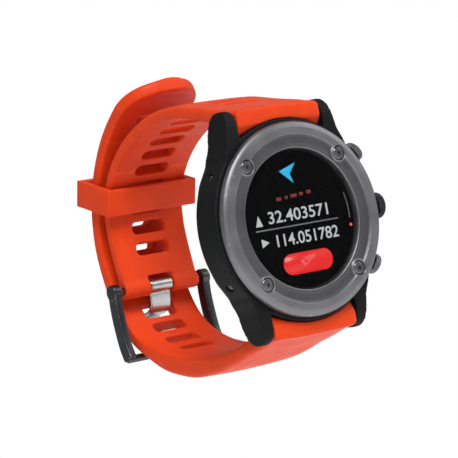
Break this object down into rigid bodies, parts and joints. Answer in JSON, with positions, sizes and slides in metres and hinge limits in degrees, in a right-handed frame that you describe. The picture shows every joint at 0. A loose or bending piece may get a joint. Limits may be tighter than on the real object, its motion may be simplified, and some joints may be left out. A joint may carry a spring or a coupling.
{
  "type": "gps running watch",
  "caption": "Round digital running watch with a screwed bezel ring, side buttons and a perforated silicone strap closed by a tang buckle and keeper.",
  "frame": {"origin": "centre of the case back's outer face, where the watch rests on the wrist", "axes": "+X to 3 o'clock, +Z to 12 o'clock, +Y out of the case back towards the wrist, so the dial faces -Y"},
  "size_m": [0.0531, 0.0767, 0.077],
  "materials": {
    "case_black": "matte moulded black",
    "bezel_grey": "bead-blasted grey metal",
    "dark_steel": "dark coated steel",
    "bright_steel": "satin steel",
    "screw_steel": "dark satin steel",
    "orange_silicone": "soft matte silicone",
    "cover_glass": "polished dark glass",
    "display": "black display panel",
    "seal_rubber": "matte black rubber",
    "board_green": "solder-mask green",
    "battery_foil": "satin foil",
    "antenna_ceramic": "cream ceramic",
    "contact_gold": "plated contact"
  },
  "bodies": {
    "watch_case": {"mid_case": "case_black", "bezel": "bezel_grey", "cover_glass": "cover_glass", "glass_gasket": "seal_rubber", "display_panel": "display", "main_board": "board_green", "battery": "battery_foil", "vibration_motor": "bright_steel", "gps_antenna": "antenna_ceramic", "case_back": "dark_steel", "case_back_seal": "seal_rubber", "sensor_window": "cover_glass", "sensor_board": "board_green", "side_screw_upper": "screw_steel", "side_screw_lower": "screw_steel", "lug_bar_upper": "bright_steel", "lug_bar_lower": "bright_steel", "bezel_screw_1": "screw_steel", "bezel_screw_2": "screw_steel", "bezel_screw_3": "screw_steel", "bezel_screw_4": "screw_steel", "case_back_screw_1": "screw_steel", "case_back_screw_2": "screw_steel", "case_back_screw_3": "screw_steel", "case_back_screw_4": "screw_steel", "charge_contact_1": "contact_gold", "charge_contact_2": "contact_gold", "charge_contact_3": "contact_gold", "charge_contact_4": "contact_gold", "tact_switch_1": "dark_steel", "tact_switch_2": "dark_steel", "tact_switch_3": "dark_steel"},
    "upper_pusher": {"pusher_upper": "bezel_grey", "button_seal_1": "seal_rubber"},
    "crown": {"crown_button": "case_black", "button_seal_2": "seal_rubber"},
    "lower_pusher": {"pusher_lower": "bezel_grey", "button_seal_3": "seal_rubber"},
    "upper_strap": {"strap_upper": "orange_silicone"},
    "lower_strap": {"strap_lower": "orange_silicone"},
    "strap_keeper": {"keeper": "orange_silicone"},
    "frame_of_buckle": {"buckle_frame": "dark_steel", "buckle_bar": "bright_steel"},
    "tang_of_buckle": {"buckle_tang": "bright_steel"}
  },
  "joints": [
    {"name": "upper_pusher_press", "type": "slide", "parent": "watch_case", "child": "upper_pusher", "axis": [-0.8526, 0, -0.5225], "range_m": [0, 0.0008], "stiffness_N_per_m": 1500, "springref_m": -0.0003},
    {"name": "crown_press", "type": "slide", "parent": "watch_case", "child": "crown", "axis": [-1, 0, 0], "range_m": [0, 0.0008], "stiffness_N_per_m": 1500, "springref_m": -0.0003},
    {"name": "lower_pusher_press", "type": "slide", "parent": "watch_case", "child": "lower_pusher", "axis": [-0.8526, 0, 0.5225], "range_m": [0, 0.0008], "stiffness_N_per_m": 1500, "springref_m": -0.0003},
    {"name": "upper_strap_open", "type": "hinge", "parent": "watch_case", "child": "upper_strap", "pos_m": [0, -0.0074, 0.027], "axis": [1, 0, 0], "range_deg": [0, 75], "deforming": ["strap_upper", "strap_lower"]},
    {"name": "lower_strap_open", "type": "hinge", "parent": "watch_case", "child": "lower_strap", "pos_m": [0, -0.0074, -0.027], "axis": [-1, 0, 0], "range_deg": [0, 75], "deforming": ["strap_lower", "strap_upper"]},
    {"name": "keeper_slide", "type": "hinge", "parent": "upper_strap", "child": "strap_keeper", "pos_m": [0, 0.0223, 0.0042], "axis": [1, 0, 0], "range_deg": [-12, 1]},
    {"name": "buckle_frame_turn", "type": "hinge", "parent": "upper_strap", "child": "frame_of_buckle", "pos_m": [0, 0.0514, -0.0102], "axis": [1, 0, 0], "range_deg": [0, 25]},
    {"name": "buckle_tang_turn", "type": "hinge", "parent": "frame_of_buckle", "child": "tang_of_buckle", "pos_m": [0, 0.0514, -0.0102], "axis": [1, 0, 0], "range_deg": [0, 15]}
  ]
}
